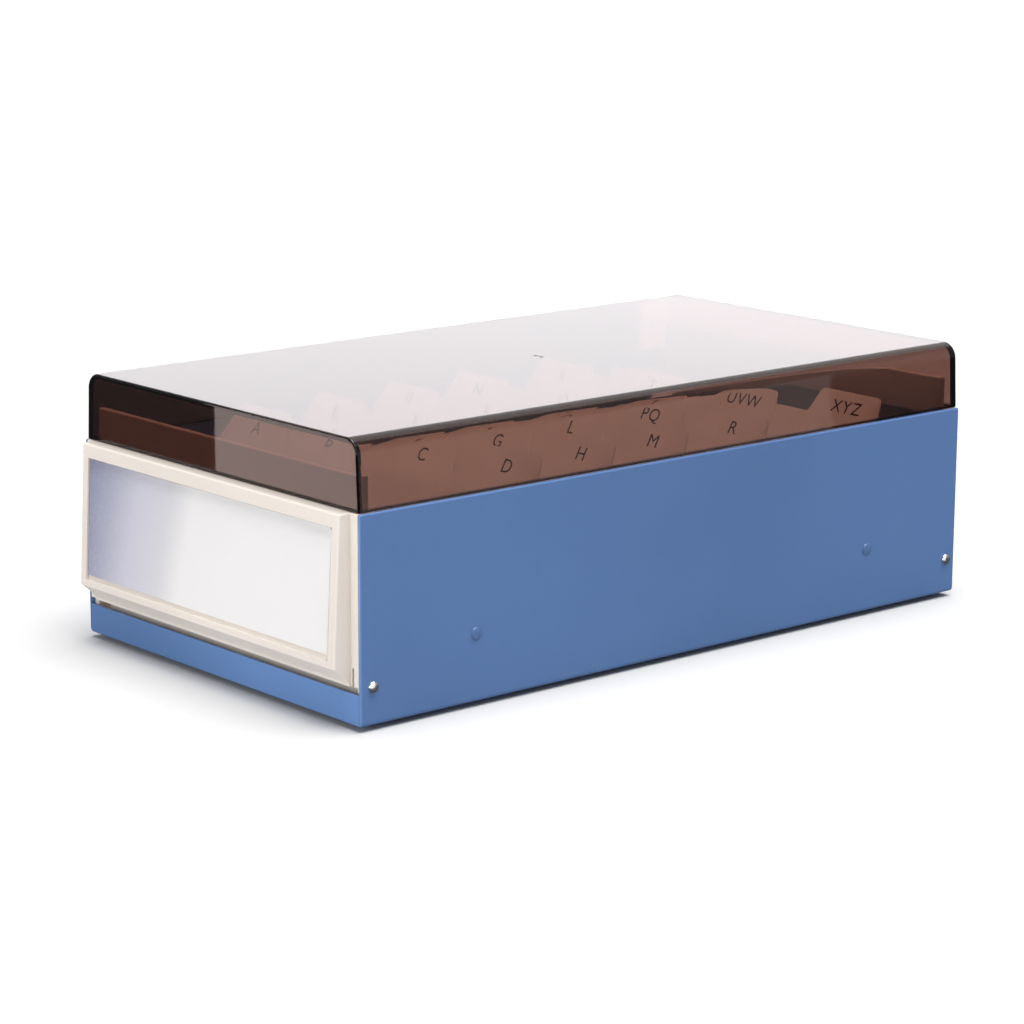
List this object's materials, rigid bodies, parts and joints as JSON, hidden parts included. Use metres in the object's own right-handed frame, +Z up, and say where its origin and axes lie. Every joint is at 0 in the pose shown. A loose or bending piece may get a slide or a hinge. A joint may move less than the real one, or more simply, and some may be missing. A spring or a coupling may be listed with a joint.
{
  "type": "card index case",
  "caption": "Desk-top card index case: folded steel trough, hinged smoke-clear lid, tilting front panel with label holder, lettered index guides and a sliding card stop.",
  "frame": {"origin": "middle of the case's overall length and width, on the surface the feet stand on", "axes": "+Z up, -Y towards the labelled front, +Y towards the lid's hinge, +X to the right seen from the front"},
  "size_m": [0.1298, 0.2402, 0.078],
  "materials": {
    "blue_steel": "satin baked enamel, mid blue",
    "bed_steel": "satin baked enamel, mid blue",
    "cream_plastic": "satin ivory moulding",
    "smoke_clear": "clear smoke brown, polished",
    "clear_cover": "clear, polished",
    "label_paper": "white card",
    "guide_card": "off-white stiff card with printed letters",
    "bright_steel": "bright plated",
    "nylon": "natural nylon",
    "foot_rubber": "black rubber"
  },
  "bodies": {
    "root": {"body_shell": "blue_steel", "card_bed": "bed_steel", "bed_rivets": "blue_steel", "front_pivot_rivets": "bright_steel", "front_pivot_washers": "bright_steel", "rear_panel": "cream_plastic", "rear_pivot_rivets": "bright_steel", "rear_pivot_washers": "bright_steel", "hinge_pins": "bright_steel", "rubber_feet": "foot_rubber"},
    "lid": {"lid": "smoke_clear"},
    "front_panel": {"front_panel": "cream_plastic", "label_card": "label_paper", "label_window": "clear_cover"},
    "card_stop": {"card_stop_plate": "blue_steel", "card_stop_slider": "nylon", "card_stop_rivets": "bright_steel"},
    "guide_a": {"guide_a": "guide_card"},
    "guide_b": {"guide_b": "guide_card"},
    "guide_c": {"guide_c": "guide_card"},
    "guide_d": {"guide_d": "guide_card"},
    "guide_e": {"guide_e": "guide_card"},
    "guide_f": {"guide_f": "guide_card"},
    "guide_g": {"guide_g": "guide_card"},
    "guide_h": {"guide_h": "guide_card"},
    "guide_ij": {"guide_ij": "guide_card"},
    "guide_k": {"guide_k": "guide_card"},
    "guide_l": {"guide_l": "guide_card"},
    "guide_m": {"guide_m": "guide_card"},
    "guide_n": {"guide_n": "guide_card"},
    "guide_o": {"guide_o": "guide_card"},
    "guide_pq": {"guide_pq": "guide_card"},
    "guide_r": {"guide_r": "guide_card"},
    "guide_s": {"guide_s": "guide_card"},
    "guide_t": {"guide_t": "guide_card"},
    "guide_uvw": {"guide_uvw": "guide_card"},
    "guide_xyz": {"guide_xyz": "guide_card"}
  },
  "joints": [
    {"name": "lid_hinge", "type": "hinge", "parent": "root", "child": "lid", "pos_m": [0, 0.1176, 0.0585], "axis": [-1, 0, 0], "range_deg": [0, 105]},
    {"name": "front_panel_tilt", "type": "hinge", "parent": "root", "child": "front_panel", "pos_m": [0, -0.1105, 0.012], "axis": [1, 0, 0], "range_deg": [0, 18]},
    {"name": "card_stop_slide", "type": "slide", "parent": "root", "child": "card_stop", "axis": [0, 1, 0], "range_m": [0, 0.02]},
    {"name": "guide_a_tip", "type": "hinge", "parent": "root", "child": "guide_a", "pos_m": [0.0012, -0.0995, 0.00535], "axis": [1, 0, 0], "range_deg": [0, 34]},
    {"name": "guide_b_tip", "type": "hinge", "parent": "root", "child": "guide_b", "pos_m": [0.0012, -0.0945, 0.00535], "axis": [1, 0, 0], "range_deg": [0, 34]},
    {"name": "guide_c_tip", "type": "hinge", "parent": "root", "child": "guide_c", "pos_m": [0.0012, -0.0865, 0.00535], "axis": [1, 0, 0], "range_deg": [0, 34]},
    {"name": "guide_d_tip", "type": "hinge", "parent": "root", "child": "guide_d", "pos_m": [0.0012, -0.0795, 0.00535], "axis": [1, 0, 0], "range_deg": [0, 34]},
    {"name": "guide_e_tip", "type": "hinge", "parent": "root", "child": "guide_e", "pos_m": [0.0012, -0.0715, 0.00535], "axis": [1, 0, 0], "range_deg": [0, 34]},
    {"name": "guide_f_tip", "type": "hinge", "parent": "root", "child": "guide_f", "pos_m": [0.0012, -0.0645, 0.00535], "axis": [1, 0, 0], "range_deg": [0, 34]},
    {"name": "guide_g_tip", "type": "hinge", "parent": "root", "child": "guide_g", "pos_m": [0.0012, -0.0585, 0.00535], "axis": [1, 0, 0], "range_deg": [0, 34]},
    {"name": "guide_h_tip", "type": "hinge", "parent": "root", "child": "guide_h", "pos_m": [0.0012, -0.0525, 0.00535], "axis": [1, 0, 0], "range_deg": [0, 34]},
    {"name": "guide_ij_tip", "type": "hinge", "parent": "root", "child": "guide_ij", "pos_m": [0.0012, -0.0445, 0.00535], "axis": [1, 0, 0], "range_deg": [0, 34]},
    {"name": "guide_k_tip", "type": "hinge", "parent": "root", "child": "guide_k", "pos_m": [0.0012, -0.0375, 0.00535], "axis": [1, 0, 0], "range_deg": [0, 34]},
    {"name": "guide_l_tip", "type": "hinge", "parent": "root", "child": "guide_l", "pos_m": [0.0012, -0.03, 0.00535], "axis": [1, 0, 0], "range_deg": [0, 34]},
    {"name": "guide_m_tip", "type": "hinge", "parent": "root", "child": "guide_m", "pos_m": [0.0012, -0.025, 0.00535], "axis": [1, 0, 0], "range_deg": [0, 34]},
    {"name": "guide_n_tip", "type": "hinge", "parent": "root", "child": "guide_n", "pos_m": [0.0012, -0.017, 0.00535], "axis": [1, 0, 0], "range_deg": [0, 34]},
    {"name": "guide_o_tip", "type": "hinge", "parent": "root", "child": "guide_o", "pos_m": [0.0012, -0.008, 0.00535], "axis": [1, 0, 0], "range_deg": [0, 34]},
    {"name": "guide_pq_tip", "type": "hinge", "parent": "root", "child": "guide_pq", "pos_m": [0.0012, 0.0005, 0.00535], "axis": [1, 0, 0], "range_deg": [0, 34]},
    {"name": "guide_r_tip", "type": "hinge", "parent": "root", "child": "guide_r", "pos_m": [0.0012, 0.0065, 0.00535], "axis": [1, 0, 0], "range_deg": [0, 34]},
    {"name": "guide_s_tip", "type": "hinge", "parent": "root", "child": "guide_s", "pos_m": [0.0012, 0.0175, 0.00535], "axis": [1, 0, 0], "range_deg": [0, 34]},
    {"name": "guide_t_tip", "type": "hinge", "parent": "root", "child": "guide_t", "pos_m": [0.0012, 0.0285, 0.00535], "axis": [1, 0, 0], "range_deg": [0, 34]},
    {"name": "guide_uvw_tip", "type": "hinge", "parent": "root", "child": "guide_uvw", "pos_m": [0.0012, 0.0395, 0.00535], "axis": [1, 0, 0], "range_deg": [0, 34]},
    {"name": "guide_xyz_tip", "type": "hinge", "parent": "root", "child": "guide_xyz", "pos_m": [0.0012, 0.054, 0.00535], "axis": [1, 0, 0], "range_deg": [0, 34]}
  ],
  "couplings": [
    {"joint": "front_panel_tilt", "follows": "lid_hinge", "ratio": 0.1714},
    {"joint": "guide_b_tip", "follows": "guide_a_tip", "ratio": 1},
    {"joint": "guide_c_tip", "follows": "guide_a_tip", "ratio": 1},
    {"joint": "guide_d_tip", "follows": "guide_a_tip", "ratio": 1},
    {"joint": "guide_e_tip", "follows": "guide_a_tip", "ratio": 1},
    {"joint": "guide_f_tip", "follows": "guide_a_tip", "ratio": 1},
    {"joint": "guide_g_tip", "follows": "guide_a_tip", "ratio": 1},
    {"joint": "guide_h_tip", "follows": "guide_a_tip", "ratio": 1},
    {"joint": "guide_ij_tip", "follows": "guide_a_tip", "ratio": 1},
    {"joint": "guide_k_tip", "follows": "guide_a_tip", "ratio": 1},
    {"joint": "guide_l_tip", "follows": "guide_a_tip", "ratio": 1},
    {"joint": "guide_m_tip", "follows": "guide_a_tip", "ratio": 1},
    {"joint": "guide_n_tip", "follows": "guide_a_tip", "ratio": 1},
    {"joint": "guide_o_tip", "follows": "guide_a_tip", "ratio": 1},
    {"joint": "guide_pq_tip", "follows": "guide_a_tip", "ratio": 1},
    {"joint": "guide_r_tip", "follows": "guide_a_tip", "ratio": 1},
    {"joint": "guide_s_tip", "follows": "guide_a_tip", "ratio": 1},
    {"joint": "guide_t_tip", "follows": "guide_a_tip", "ratio": 1},
    {"joint": "guide_uvw_tip", "follows": "guide_a_tip", "ratio": 1},
    {"joint": "guide_xyz_tip", "follows": "guide_a_tip", "ratio": 1}
  ]
}
